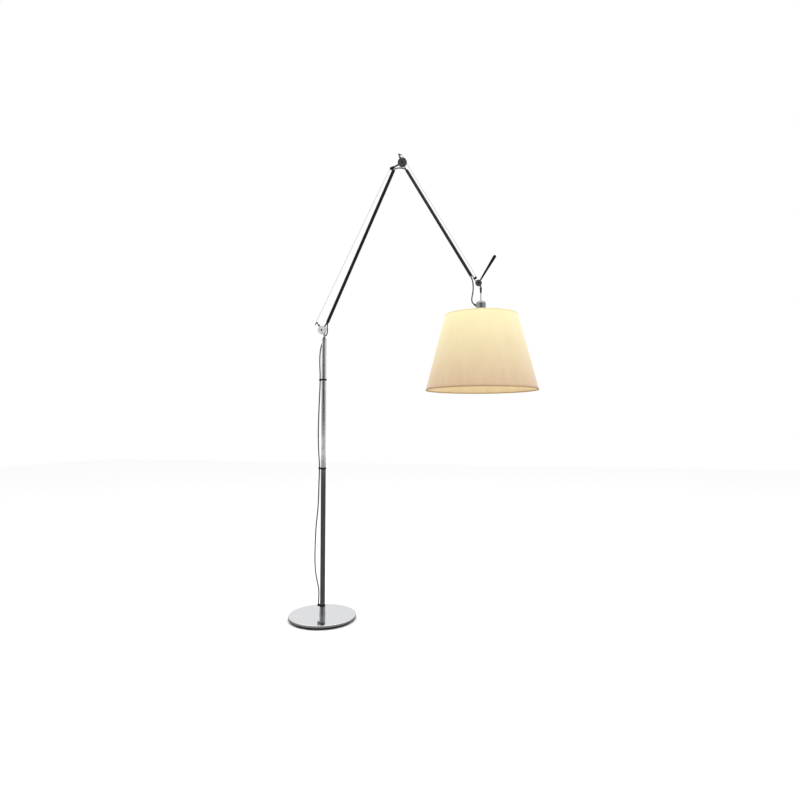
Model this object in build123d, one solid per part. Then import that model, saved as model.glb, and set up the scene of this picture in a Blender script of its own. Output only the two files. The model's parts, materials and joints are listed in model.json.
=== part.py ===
from build123d import *
import math
import os

# Adjustable arm floor lamp. Millimetres, +Z up. The origin is the centre of the underside of the
# base pad. Both arms lie in the XZ plane, with the shade on the +X side, and the arms' fronts
# face -Y. Angles are above the horizontal and count from +X.

# base
base_r = 165.0
cover_top = 22.0
cover_skirt = 12.0
cover_wall = 2.0
cover_edge = 3.0
weight_inset = 7.0
weight_r = base_r - weight_inset
weight_chamfer = 2.0
pad_inset = 15.0
pad_r = base_r - pad_inset
pad_t = 2.0
bolt_r = 6.0
bolt_head_r = 10.5
bolt_head_h = 7.5
bolt_head_gap = 0.5
bolt_seat_r = bolt_head_r + 3
bolt_way_r = bolt_r + 0.1
inlet_z = 6.2
inlet_bore_r = 2.8
inlet_flange_r = 3.6
inlet_flange_t = 2.5
inlet_len = 13.0

# stem
stem_r = 12.0
stem_wall = 1.5
stem_top = 1377.0
stem_seam = 734.0
joiner_len = 60.0
joiner_wall = 2.0
collar_top_r = stem_r + 1.0
collar_foot_r = stem_r + 3.0
collar_h = 39.0
collar_floor = 8.0
clip_h = 8.0
clip_wall = 1.6
clip_upper_z = 1176.0
clip_lug = 0.6
bush_flange = 3.0
bush_edge = 0.8
bush_depth = 32.0

# cord
cord_r = 3.0
cord_x = -20.8
cord_y = 0.0
cord_bore = 3.15
gland_floor = 2.0

# swivel
pin_r = 4.0
pin_collar_r = 7.0
pin_collar_h = 3.0
pin_neck = 26.0
guide_t = 5.0
guide_x = -9.8
guide_y = 13.2
plate_t = 3.6
plate_tail = 11.0
tail_half_w = 3.4
ear_w = 7.0

# hinges
axle_r = 3.0
rivet_head_r = 4.2
rivet_head_h = 1.8
rivet_edge = 0.8
cheek_t = 4.8
rim_edge = 0.9
fork_r = 2.0
fork_y = plate_t / 2 + 2.4
fork_seat = 7.0
fork_lean = -11.5
shoulder = (-12.0, stem_top + 51.0)
shoulder_disc_r = 21.5
shoulder_plate_r = 18.0
elbow_disc_r = 22.4
elbow_plate_r = 14.0
wrist_disc_r = 15.5
wrist_plate_r = 12.5
wrist_cheek_t = 4.0

# lower arm, measured along and to the left of its tube from the shoulder pivot
lower_angle = 65.1
lower_r = 8.0
lower_start = 48.0
lower_end = 860.0
lower_shift = -10.5
elbow_at = (914.0, -36.0)
arm_wall = 1.5
plug_len = 20.0
flange_t = 4.0
cord_drop = 3.0
cord_seat = 6.0
lever_r = 2.9
crossbar_r = 2.3
lever_root_r = 4.5
lever_root_len = 9.0
lever_grip = 6.0
lever_gap = 2.0
shoulder_lever_angle = 126.0
shoulder_lever_reach = 50.0
shoulder_crossbar = ((-37.0, 26.5), (-30.2, 43.3))
elbow_lever_angle = 113.4
elbow_lever_reach = 48.0
elbow_crossbar = ((-20.0, 45.1), (-3.1, 37.1))
wire_r = 0.8
lower_roller = (867.5, 6.2)
lower_roller_r = 4.4
roller_rim = 1.0
roller_pin_r = 1.5
wire_way_r = 1.5
wire_seat = 4.0
lower_wire_in = 3.6
upper_wire_in = 1.0
elbow_bar_root = (877.0, -4.0)
elbow_bar_w = 7.0
knuckle_half = 5.0
knuckle_nose_r = 5.6
knuckle_root_r = 5.0

# upper arm, measured the same way from the elbow pivot
upper_angle = -60.2
upper_r = 7.5
upper_start = 52.6
upper_end = 674.0
upper_shift = -2.0
wrist_at = (727.5, 10.3)
wrist_rod_r = 1.75
wrist_rod_shift = 3.0
upper_roller = (698.0, 10.6)
upper_roller_r = 5.0
bracket_r = 4.0
bracket_root_r = 3.0

# springs inside the tubes
spring_r = 3.8
spring_wire = 0.7
spring_pitch = 7.0
spring_len = 112.0

# head, measured from the wrist pivot, X to the right and Y up
handle_angle = 58.0
handle_start = 18.0
handle_end = 150.0
handle_root_r = 3.8
handle_tip_r = 7.5
handle_ear = 27.0
handle_ear_w = 5.6
axis_x = 10.0
neck_root = (6.0, -10.0)
neck_root_w = 6.0
neck_half_w = 2.5
hanger_top = -20.0
hanger_len = 28.0
hanger_top_r = 5.5
hanger_foot_r = 3.9
hanger_rod_r = 2.4
hanger_seat = 9.0
tail_end = -25.0
dome_top = -86.5
dome_r = 23.5
dome_h = 36.0
dome_wall = 2.0
dome_edge = 14.0
boss_r = 7.0
boss_h = 12.0
relief_r = 4.3
relief_angle = 140.0
relief_out = 11.0
relief_in = 4.0
relief_y = -107.2
holder_r = 21.5
holder_neck_r = 19.8
holder_lip = 4.0
holder_seat = -150.0
holder_foot = -186.0
holder_bore_r = 14.0
holder_roof = 6.0
ring_r = 26.0
ring_h = 6.0
cap_r = 13.2
cap_len = 26.0
bulb_r = 30.0
bulb_neck_r = 12.6
bulb_wall = 1.2
bulb_centre = -242.0

# shade
shade_foot_r = 260.0
shade_top_r = 170.0
shade_h = 351.5
shade_drop = 155.2
shade_wall_t = 1.2
carrier_r = 30.0
carrier_t = 4.0
spoke_r = 1.8
hoop_r = 2.0
hoop_inset = 4.5
trim_h = 5.0
trim_t = 0.8

# clearances
fit = 0.04
running = 0.06
slot_gap = 0.04
cheek_gap = 0.05
hoop_gap = 0.05
wire_gap = 0.05

BOTTOM = (Align.CENTER, Align.CENTER, Align.MIN)
half_plate = plate_t / 2
shoulder_ear = shoulder_disc_r + lever_gap + lever_grip
elbow_ear = elbow_disc_r + lever_gap + lever_grip
cheek_in = half_plate + cheek_gap
cheek_out = cheek_in + cheek_t
wrist_cheek_out = cheek_in + wrist_cheek_t


def arm_frame(pivot, angle):
    """Frame at a pivot: x along the arm, y to its left, z towards the lamp's front."""
    a = math.radians(angle)
    return Plane(
        origin=(pivot[0], 0, pivot[1]), x_dir=(math.cos(a), 0, math.sin(a)), z_dir=(0, -1, 0)
    )


def place(frame, x, y):
    """Position in the arm plane of a point given in an arm's frame, as (X, Z)."""
    p = frame.from_local_coords(Vector(x, y, 0))
    return (p.X, p.Z)


lower = arm_frame(shoulder, lower_angle)
elbow = place(lower, *elbow_at)
upper = arm_frame(elbow, upper_angle)
wrist = place(upper, *wrist_at)
upright_shoulder = arm_frame(shoulder, 0)
upright_elbow = arm_frame(elbow, 0)
head = arm_frame(wrist, 0)
shade_x = wrist[0] + axis_x
shade_top = wrist[1] - shade_drop
shade_foot = shade_top - shade_h


def disc(r, z0, z1):
    """Upright cylinder on the Z axis between two heights."""
    return Pos(0, 0, z0) * Cylinder(r, z1 - z0, align=BOTTOM)


def bar(p, q, r):
    """Round bar between two points."""
    axis = Vector(*q) - Vector(*p)
    return Plane(origin=p, z_dir=axis).location * Cylinder(r, axis.length, align=BOTTOM)


def taper(p, q, r0, r1):
    """Tapered round bar between two points."""
    axis = Vector(*q) - Vector(*p)
    return Plane(origin=p, z_dir=axis).location * Cone(r0, r1, axis.length, align=BOTTOM)


def link(p, rp, q, rq, z0, z1):
    """Flat link with round ends, between two heights of its frame."""
    ends = Pos(p[0], p[1]) * Circle(rp) + Pos(q[0], q[1]) * Circle(rq)
    return Pos(0, 0, z0) * extrude(make_hull(ends.edges()), z1 - z0)


def polar(r, angle):
    a = math.radians(angle)
    return (r * math.cos(a), r * math.sin(a))


def ring(outer, inner, z0, z1):
    return disc(outer, z0, z1) - disc(inner, z0 - 1, z1 + 1)


# ---- base and stem -------------------------------------------------------------------------


def base_pad():
    return disc(pad_r, 0, pad_t)


def base_weight():
    top = cover_top - cover_wall
    body = chamfer(disc(weight_r, pad_t, top).edges().group_by(Axis.Z)[0], weight_chamfer)
    seat = disc(bolt_seat_r, pad_t - 1, pad_t + bolt_head_h + bolt_head_gap)
    inlet = bar((0, weight_r - inlet_len - 1, inlet_z), (0, weight_r + 1, inlet_z),
                inlet_bore_r + fit)
    return body - seat - disc(bolt_way_r, pad_t, top + 1) - inlet


def base_cover():
    low = cover_top - cover_skirt
    shell = disc(base_r, low, cover_top)
    shell = fillet(shell.edges().group_by(Axis.Z)[-1], cover_edge)
    inner = disc(base_r - cover_wall, low - 1, cover_top - cover_wall)
    inner = fillet(inner.edges().group_by(Axis.Z)[-1], cover_edge - cover_wall)
    return shell - inner - disc(bolt_way_r, low, cover_top + 1)


def base_inlet():
    y = weight_r
    sleeve = bar((0, y - inlet_len, inlet_z), (0, y, inlet_z), inlet_bore_r)
    flange = bar((0, y, inlet_z), (0, y + inlet_flange_t, inlet_z), inlet_flange_r)
    hole = bar((0, y - inlet_len + 4, inlet_z), (0, y + inlet_flange_t + 1, inlet_z),
               inlet_bore_r - 1)
    return sleeve + flange - hole


def stem_bolt():
    top = pad_t + bolt_head_h + bolt_head_gap
    head_part = Pos(0, 0, top - bolt_head_h) * extrude(RegularPolygon(bolt_head_r, 6), bolt_head_h)
    return head_part + disc(bolt_r, top, cover_top + collar_floor - 1)


def foot_collar():
    cone = Pos(0, 0, cover_top) * Cone(collar_foot_r, collar_top_r, collar_h, align=BOTTOM)
    bore = disc(stem_r + fit, cover_top + collar_floor, cover_top + collar_h + 1)
    return cone - bore - disc(bolt_r + fit, cover_top - 1, cover_top + collar_floor + 1)


def oval(z0, z1):
    """Oval band that holds the stem and the cord beside it."""
    outer = link(
        (0, 0), stem_r + clip_wall, (cord_x, cord_y), cord_bore + clip_wall + clip_lug, z0, z1
    )
    return outer - disc(stem_r + fit, z0 - 1, z1 + 1)


def cord_hole(z0, z1):
    return Pos(cord_x, cord_y, z0) * Cylinder(cord_bore, z1 - z0, align=BOTTOM)


def foot_gland():
    z0 = cover_top + collar_h
    return oval(z0, z0 + clip_h) - cord_hole(z0 + gland_floor, z0 + clip_h + 1)


def stem_clip(z):
    return oval(z - clip_h / 2, z + clip_h / 2) - cord_hole(z - clip_h, z + clip_h)


def stem_tube_lower():
    return ring(stem_r, stem_r - stem_wall, cover_top + collar_floor, stem_seam)


def stem_tube_upper():
    return ring(stem_r, stem_r - stem_wall, stem_seam, stem_top)


def stem_joiner():
    r = stem_r - stem_wall - fit
    return ring(r, r - joiner_wall, stem_seam - joiner_len / 2, stem_seam + joiner_len / 2)


def stem_bush():
    spigot = disc(stem_r - stem_wall - fit, stem_top - bush_depth, stem_top)
    flange = disc(stem_r, stem_top, stem_top + bush_flange)
    flange = fillet(flange.edges().group_by(Axis.Z)[-1], bush_edge)
    return spigot + flange - disc(pin_r + running, stem_top - bush_depth - 1, stem_top + 3 * bush_flange)


# ---- swivel --------------------------------------------------------------------------------


def swivel_pin():
    seat = stem_top + bush_flange
    top = seat + pin_neck
    pin = disc(pin_r, stem_top - bush_depth + 2, top) + disc(pin_collar_r, seat, seat + pin_collar_h)
    slot = Pos(0, 0, top - plate_tail) * Box(20, plate_t + 2 * slot_gap, plate_tail + 1, align=BOTTOM)
    return pin - slot


def cord_guide():
    z0 = stem_top + bush_flange + pin_collar_h
    z1 = z0 + guide_t
    body = link((0, 0), pin_collar_r, (guide_x, guide_y), cord_bore + 1.8, z0, z1)
    eye = Pos(guide_x, guide_y, z0 - 1) * Cylinder(cord_bore, guide_t + 2, align=BOTTOM)
    return body - disc(pin_r + fit, z0 - 1, z1 + 1) - eye


def flat_plate(disc_r, arms, axle_gap):
    """Hinge plate about its frame's origin, with straight arms of (angle or end, length, width)."""
    plate = Pos(0, 0, -half_plate) * Cylinder(disc_r, plate_t, align=BOTTOM)
    for end, width in arms:
        plate += link((0, 0), width / 2, end, width / 2, -half_plate, half_plate)
    return plate - Cylinder(axle_r + axle_gap, plate_t + 2)


def shoulder_plate():
    foot = stem_top + bush_flange + pin_neck - plate_tail
    tail = (-shoulder[0], foot + tail_half_w - shoulder[1])
    knee = (-shoulder[0], tail[1] + 8)
    ear = (polar(shoulder_ear, shoulder_lever_angle), ear_w)
    plate = flat_plate(shoulder_plate_r, [ear], running)
    plate += link((0, 0), tail_half_w, knee, tail_half_w, -half_plate, half_plate)
    plate += link(knee, tail_half_w, tail, tail_half_w, -half_plate, half_plate)
    plate -= Cylinder(axle_r + running, plate_t + 2)
    return upright_shoulder.location * plate


def lever(frame, angle, ear, reach, crossbar):
    """Lever rod gripped on a plate's ear, with a cross bar at its end that holds a wire."""
    root = polar(ear - lever_grip, angle)
    neck = polar(ear - lever_grip + lever_root_len, angle)
    tip = polar(reach, angle)
    block = bar((*root, 0), (*neck, 0), lever_root_r)
    rod = bar((*neck, 0), (*tip, 0), lever_r)
    cross = bar((*crossbar[0], 0), (*crossbar[1], 0), crossbar_r)
    grip_r = ear_w / 2 + slot_gap
    grip = link((0, 0), grip_r, polar(ear, angle), grip_r,
                -half_plate - slot_gap, half_plate + slot_gap)
    return frame.location * (block + rod + cross - grip)


def shoulder_lever():
    return lever(upright_shoulder, shoulder_lever_angle, shoulder_ear, shoulder_lever_reach,
                 shoulder_crossbar)


# ---- parts shared by the three hinges --------------------------------------------------------


def cheek(frame, centre, r, thick, side, rods):
    """Round side plate of a hinge, drilled for its rivet and for the ends of its fork's rods."""
    plate = Cylinder(r, thick, align=BOTTOM)
    plate = fillet(plate.edges().group_by(Axis.Z)[-1], rim_edge)
    plate -= Cylinder(axle_r + fit, 3 * thick)
    plate = Pos(centre[0], centre[1], cheek_in) * plate
    if side < 0:
        plate = Pos(2 * centre[0], 0, 0) * Rot(0, 180, 0) * plate
    for p, q, rod_r in rods:
        plate -= bar((p[0], p[1], side * fork_y), (q[0], q[1], side * fork_y), rod_r + fit)
    return frame.location * plate


def rivet(frame, centre, out):
    """Hinge rivet with a domed head on each side."""
    shank = Cylinder(axle_r, 2 * out)
    cap = Cylinder(rivet_head_r, rivet_head_h, align=BOTTOM)
    cap = Pos(0, 0, out) * fillet(cap.edges().group_by(Axis.Z)[-1], rivet_edge)
    return frame.location * (Pos(centre[0], centre[1]) * (shank + cap + Rot(180, 0, 0) * cap))


def spring(frame, start, shift):
    coil = Helix(spring_pitch, spring_len, spring_r)
    wire = sweep(Plane(coil @ 0, z_dir=coil % 0) * Circle(spring_wire), path=coil, is_frenet=True)
    return frame.location * (Pos(start, shift, 0) * Rot(0, 90, 0) * wire)


def arm_tube(frame, start, end, shift, r):
    tube = Cylinder(r, end - start, align=BOTTOM) - Cylinder(
        r - arm_wall, end - start, align=BOTTOM
    )
    return frame.location * (Pos(start, shift, 0) * Rot(0, 90, 0) * tube)


def plug(face, into, shift, r):
    """Plug of a tube's end: a spigot inside the tube and a flange outside, with the cord's hole."""
    way = 1 if into > face else -1
    spigot = bar((face, shift, 0), (face + way * plug_len, shift, 0), r - arm_wall - fit)
    flange = bar((face, shift, 0), (face - way * flange_t, shift, 0), r)
    seat = face - way * flange_t
    hole = bar((seat - way, shift - cord_drop, 0), (seat + way * cord_seat, shift - cord_drop, 0),
               cord_bore)
    return spigot + flange - hole


# ---- lower arm -----------------------------------------------------------------------------

lower_fork_in = polar(shoulder_disc_r - fork_seat, fork_lean)
lower_fork_out = (lower_start - 1.0, lower_start * math.tan(math.radians(fork_lean)))


def lower_fork():
    body = plug(lower_start, lower_end, lower_shift, lower_r)
    for side in (-1, 1):
        z = side * fork_y
        body += bar((*lower_fork_in, z), (*lower_fork_out, z), fork_r)
    return lower.location * body


def lower_arm_tube():
    return arm_tube(lower, lower_start, lower_end, lower_shift, lower_r)


def shoulder_cheek(side):
    rods = [(lower_fork_in, lower_fork_out, fork_r)]
    return cheek(lower, (0, 0), shoulder_disc_r, cheek_t, side, rods)


def lower_knuckle():
    body = plug(lower_end, lower_start, lower_shift, lower_r)
    body += link(lower_roller, knuckle_nose_r, elbow_bar_root, knuckle_root_r,
                 -knuckle_half, knuckle_half)
    neck = Pos(lower_end + flange_t + 1, lower_shift + 6.5, 0) * Box(8, 9, 2 * knuckle_half)
    cord_side = bar((lower_end + 2, lower_shift - cord_drop, 0),
                    (lower_end + 30, lower_shift - cord_drop, 0), cord_bore + 0.4)
    body = body + neck - cord_side
    slot_start = lower_roller[0] - lower_roller_r - roller_rim - 0.5
    slot = Pos(slot_start + 30, 2, 0) * Box(60, 40, plate_t + 2 * slot_gap)
    body -= slot
    pins = bar((*lower_roller, -knuckle_half), (*lower_roller, knuckle_half), roller_pin_r)
    return lower.location * (body - wire_way(lower_wire) + pins)


def roller(frame, centre, r):
    """Grooved guide that a balance wire runs over."""
    wheel = Cylinder(r + roller_rim, plate_t)
    groove = Torus(r + wire_r, wire_r + 0.15)
    return frame.location * (Pos(*centre) * (wheel - groove - Cylinder(roller_pin_r + fit, 9)))


def elbow_plate():
    root = upright_elbow.to_local_coords(lower.from_local_coords(Vector(*elbow_bar_root, 0)))
    arms = [((root.X, root.Y), elbow_bar_w), (polar(elbow_ear, elbow_lever_angle), ear_w)]
    return upright_elbow.location * flat_plate(elbow_plate_r, arms, running)


def elbow_lever():
    return lever(upright_elbow, elbow_lever_angle, elbow_ear, elbow_lever_reach, elbow_crossbar)


def wire_route(frame, upright, crossbar_end, centre, r, entry):
    """Corners of a balance wire: from a lever's cross bar, round its guide and into the tube."""
    hook = frame.to_local_coords(upright.from_local_coords(Vector(*crossbar_end, 0)))
    reach = r + wire_r + wire_gap
    across, along = centre[1] - hook.Y, centre[0] - hook.X
    lean = math.atan2(across, along) + math.asin(reach / math.hypot(across, along))
    u = (math.cos(lean), math.sin(lean))
    n = (-u[1], u[0])
    off = crossbar_r + wire_r + wire_gap
    start = (hook.X + off * u[0], hook.Y + off * u[1])
    crest = (centre[0] + reach * u[0], centre[1] + reach * u[1])
    corner = (crest[0] + reach * n[0], crest[1] + reach * n[1])
    turn = (crest[0] - reach * n[0], crest[1] - reach * n[1])
    return [(*start, 0), (*corner, 0), (*turn, 0), (*entry, 0)], reach


def wire_way(wire):
    """Passage of a balance wire through its plug."""
    (_, _, turn, entry), _ = wire
    run = Vector(*entry) - Vector(*turn)
    return bar(turn, tuple(Vector(*entry) + run.normalized() * plug_len), wire_way_r)


def balance_wire(frame, wire):
    points, reach = wire
    path = FilletPolyline(*points, radius=[reach * 0.98, reach * 0.9])
    return frame.location * sweep(Plane(path @ 0, z_dir=path % 0) * Circle(wire_r), path=path)


lower_wire = wire_route(lower, upright_shoulder, shoulder_crossbar[1], lower_roller,
                        lower_roller_r, (lower_end - wire_seat, lower_shift + lower_wire_in))


def lower_balance_wire():
    return balance_wire(lower, lower_wire)


# ---- upper arm -----------------------------------------------------------------------------

upper_fork_in = (elbow_disc_r - fork_seat, upper_shift)
upper_fork_out = (upper_start - 1.0, upper_shift)
upper_wire = wire_route(upper, upright_elbow, elbow_crossbar[1], upper_roller,
                        upper_roller_r, (upper_end - wire_seat + 2, upper_shift + upper_wire_in))
wrist_fork_in = (upper_end + 1.0, wrist_rod_shift)
wrist_fork_out = (wrist_at[0] - wrist_disc_r + fork_seat + 1.5, wrist_rod_shift)


def upper_fork():
    body = plug(upper_start, upper_end, upper_shift, upper_r)
    for side in (-1, 1):
        z = side * fork_y
        body += bar((*upper_fork_in, z), (*upper_fork_out, z), fork_r)
    return upper.location * body


def upper_arm_tube():
    return arm_tube(upper, upper_start, upper_end, upper_shift, upper_r)


def elbow_cheek(side):
    rods = [(upper_fork_in, upper_fork_out, fork_r)]
    return cheek(upper, (0, 0), elbow_disc_r, cheek_t, side, rods)


def wrist_fork():
    body = plug(upper_end, upper_start, upper_shift, upper_r)
    for side in (-1, 1):
        z = side * fork_y
        body += bar((*wrist_fork_in, z), (*wrist_fork_out, z), wrist_rod_r)
        low, high = sorted((side * (half_plate + 0.1), side * (fork_y + 1)))
        body += link((upper_roller[0], wrist_rod_shift), bracket_root_r,
                     upper_roller, bracket_r, low, high)
    pins = bar((*upper_roller, -fork_y), (*upper_roller, fork_y), roller_pin_r)
    return upper.location * (body + pins - wire_way(upper_wire))


def wrist_cheek(side):
    rods = [(wrist_fork_in, wrist_fork_out, wrist_rod_r)]
    return cheek(upper, wrist_at, wrist_disc_r, wrist_cheek_t, side, rods)


def upper_balance_wire():
    return balance_wire(upper, upper_wire)


# ---- head ----------------------------------------------------------------------------------


def head_plate():
    arms = [(polar(handle_ear, handle_angle), handle_ear_w), (neck_root, neck_root_w)]
    plate = flat_plate(wrist_plate_r, arms, running)
    knee = (axis_x, hanger_top + 3)
    tail = (axis_x, tail_end + neck_half_w)
    plate += link(neck_root, neck_root_w / 2, knee, neck_half_w, -half_plate, half_plate)
    plate += link(knee, neck_half_w, tail, neck_half_w, -half_plate, half_plate)
    return head.location * (plate - Cylinder(axle_r + running, plate_t + 2))


def handle_grip():
    p = polar(handle_start, handle_angle)
    q = polar(handle_end - handle_tip_r, handle_angle)
    grip = taper((*p, 0), (*q, 0), handle_root_r, handle_tip_r)
    grip += Pos(*q) * Sphere(handle_tip_r)
    slot_r = handle_ear_w / 2 + slot_gap
    slot = link((0, 0), slot_r, polar(handle_ear, handle_angle), slot_r,
                -half_plate - slot_gap, half_plate + slot_gap)
    return head.location * (grip - slot)


def on_axis(part):
    """Turns a part of revolution about Z onto the shade's axis, from heights above the wrist."""
    return Pos(shade_x, 0, wrist[1]) * part


def hanger_sleeve():
    foot = hanger_top - hanger_len
    body = Pos(0, 0, foot) * Cone(hanger_foot_r, hanger_top_r, hanger_len, align=BOTTOM)
    slot = Pos(0, 0, tail_end - slot_gap) * Box(
        2 * (neck_half_w + slot_gap), plate_t + 2 * slot_gap, 40, align=BOTTOM
    )
    return on_axis(body - slot - disc(hanger_rod_r + fit, foot - 1, foot + hanger_seat))


def hanger_collar():
    z0 = hanger_top - 6
    slope = (hanger_top_r - hanger_foot_r) / hanger_len
    bore = hanger_top_r - slope * 3
    return on_axis(ring(hanger_top_r + 1.2, bore + 0.2, z0, z0 + 3))


def hanger_rod():
    return on_axis(disc(hanger_rod_r, dome_top - boss_h + 2, hanger_top - hanger_len + hanger_seat))


def dome_cap():
    shell = disc(dome_r, dome_top - dome_h, dome_top)
    shell = fillet(shell.edges().group_by(Axis.Z)[-1], dome_edge)
    inner = disc(dome_r - dome_wall, dome_top - dome_h - 1, dome_top - dome_wall)
    inner = fillet(inner.edges().group_by(Axis.Z)[-1], dome_edge - dome_wall)
    cap = shell - inner + disc(boss_r, dome_top - boss_h, dome_top - dome_wall)
    cap -= disc(hanger_rod_r + fit, dome_top - boss_h - 1, dome_top + 1)
    return on_axis(cap - relief_body(relief_r + fit))


def relief_body(r):
    u = polar(1, relief_angle)
    base = (-dome_r, 0, relief_y)
    p = (base[0] - relief_in * u[0], 0, base[2] - relief_in * u[1])
    q = (base[0] + relief_out * u[0], 0, base[2] + relief_out * u[1])
    return bar(p, q, r)


def cord_relief():
    u = polar(1, relief_angle)
    p = (-dome_r + 3 * u[0], 0, relief_y + 3 * u[1])
    q = (-dome_r + (relief_out + 1) * u[0], 0, relief_y + (relief_out + 1) * u[1])
    return on_axis(relief_body(relief_r) - bar(p, q, cord_bore))


def lampholder():
    low = dome_top - dome_h
    body = disc(dome_r - dome_wall - fit, low, low + 8) + disc(dome_r, low - holder_lip, low)
    body += disc(holder_r, holder_seat, low) + disc(holder_neck_r, holder_foot, holder_seat)
    return on_axis(body - disc(holder_bore_r, holder_foot - 1, low + 8 - holder_roof))


def shade_ring():
    z1 = holder_seat - carrier_t
    body = ring(ring_r, holder_neck_r + fit, z1 - ring_h, z1)
    return on_axis(body)


def bulb_cap():
    body = disc(cap_r, holder_foot - 2, holder_foot - 2 + cap_len)
    stub = holder_foot - 2 + cap_len
    return on_axis(body + disc(5, stub, stub + 3))


def bulb_glass():
    top = holder_foot - 2
    blend = bulb_centre + bulb_r * 0.72
    wide = math.sqrt(bulb_r**2 - (blend - bulb_centre) ** 2)
    neck = Pos(0, 0, blend) * Cone(wide, bulb_neck_r, top - blend, align=BOTTOM)
    inner = Pos(0, 0, blend) * Cone(
        wide - bulb_wall, bulb_neck_r - bulb_wall, top - blend - bulb_wall, align=BOTTOM
    )
    globe = Pos(0, 0, bulb_centre) * Sphere(bulb_r)
    hollow = Pos(0, 0, bulb_centre) * Sphere(bulb_r - bulb_wall)
    return on_axis((globe + neck) - (hollow + inner))


# ---- shade ---------------------------------------------------------------------------------

shade_slope = (shade_foot_r - shade_top_r) / (shade_top - shade_foot)


def shade_r(z):
    """Outer radius of the shade at a height."""
    return shade_foot_r - (z - shade_foot) * shade_slope


def band(z0, z1, inner, outer):
    """Conical band that follows the shade's outside, between two offsets from it."""
    profile = Polyline(
        (shade_r(z0) + inner, 0, z0), (shade_r(z0) + outer, 0, z0),
        (shade_r(z1) + outer, 0, z1), (shade_r(z1) + inner, 0, z1), close=True,
    )
    return Pos(shade_x, 0, 0) * revolve(make_face(profile), Axis.Z)


def shade_wall():
    return band(shade_foot + trim_t + fit, shade_top, -shade_wall_t, 0)


def shade_top_trim():
    return band(shade_top - trim_h, shade_top, fit, trim_t + fit)


def shade_foot_trim():
    """Channel-shaped binding that wraps the lower edge of the shade's wall."""
    side = trim_t + fit
    z0 = shade_foot
    body = band(z0, z0 + trim_h, -shade_wall_t - side, side)
    return body - band(z0 + trim_t, z0 + trim_h + 1, -shade_wall_t - fit, fit)


def hoop_major(z):
    """Radius of a round hoop that lies along the inside of the sloping wall."""
    lean = math.cos(math.atan(shade_slope))
    return shade_r(z) - shade_wall_t - (hoop_r + hoop_gap) / lean


def shade_carrier():
    z0 = wrist[1] + holder_seat - carrier_t
    z_hoop = shade_top - hoop_inset
    major = hoop_major(z_hoop)
    body = ring(carrier_r, holder_neck_r + running, z0, z0 + carrier_t)
    body += Pos(0, 0, z_hoop) * Torus(major, hoop_r)
    for k in range(3):
        turn = Rot(0, 0, 90 + 120 * k)
        body += turn * bar((carrier_r - 3, 0, z0 + carrier_t / 2), (major, 0, z_hoop), spoke_r)
    return Pos(shade_x, 0, 0) * body


# ---- cords ---------------------------------------------------------------------------------

# Each route is a list of points; the cord is straight between them, with tangent arcs.
stem_route = [
    (-20.8, 0, 1180), (-20.8, 0, 1150), (-23.2, -0.6, 1096), (-26.4, 0.3, 1020),
    (-28.6, 0.1, 940), (-28.2, 0.6, 862), (-25.0, 0.3, 800), (-20.8, 0, 756),
    (-20.8, 0, 712), (-23.9, 0.4, 650), (-24.6, -0.3, 578), (-29.6, 0.2, 512),
    (-36.8, 0, 452), (-40.0, 0.4, 388), (-41.8, 0, 320), (-41.4, 0.3, 266),
    (-37.0, 0, 216), (-28.6, 0.2, 180), (-20.9, 0, 148), (-18.9, 0.1, 118),
    (-20.8, 0, 90), (-20.8, 0, 63),
]
swivel_route = [
    (-9.8, 13.2, 1385.5), (-9.8, 13.2, 1379), (-13.8, 14.2, 1368.5), (-19.6, 11.8, 1352),
    (-23.4, 6.4, 1326), (-24.4, 1.4, 1286), (-22.8, -0.4, 1240), (-20.8, 0, 1206),
    (-20.8, 0, 1180),
]
shoulder_route = [
    (20.46, 0, 1465.81), (16.62, 0, 1457.54), (15.0, 0.6, 1440), (15.6, 3.6, 1424),
    (12.0, 9.0, 1411), (4.4, 13.2, 1402), (-4.4, 14.6, 1396.5), (-9.8, 13.2, 1391.5),
    (-9.8, 13.2, 1385.5),
]
elbow_route = [
    (361.51, 0, 2200.56), (366.57, 0, 2211.44), (373.2, 0.3, 2215.4), (385.0, 0.4, 2215.9),
    (398.0, 0.3, 2214.2), (409.6, 0.1, 2211.0), (419.05, 0, 2208.18), (427.01, 0, 2194.3),
]
head_route = [
    (735.19, 0, 1656.24), (745.2, 0, 1638.8), (749.6, 0.8, 1616), (750.6, 1.2, 1591),
    (747.4, 0.6, 1566), (743.2, -0.4, 1545), (743.4, -0.3, 1531), (748.0, 0, 1520.7),
    (760.1, 0, 1510.48),
]


def cord_radii(route):
    """One bend radius for each inner point, as large as its two runs allow."""
    radii = []
    for a, b, c in zip(route, route[1:], route[2:]):
        before, after = Vector(*b) - Vector(*a), Vector(*c) - Vector(*b)
        half = math.radians(before.get_angle(after)) / 2
        radii.append(0.45 * min(before.length, after.length) / math.tan(half))
    return radii


def cord(name, route):
    radii = cord_radii(route)
    path = FilletPolyline(*route, radius=radii)
    body = sweep(Plane(path @ 0, z_dir=path % 0) * Circle(cord_r), path=path)
    expected = math.pi * cord_r**2 * path.length
    print(name, "radii", [round(r) for r in radii], "length", round(path.length, 1),
          "volume share", round(body.volume / expected, 4))
    return body


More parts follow.
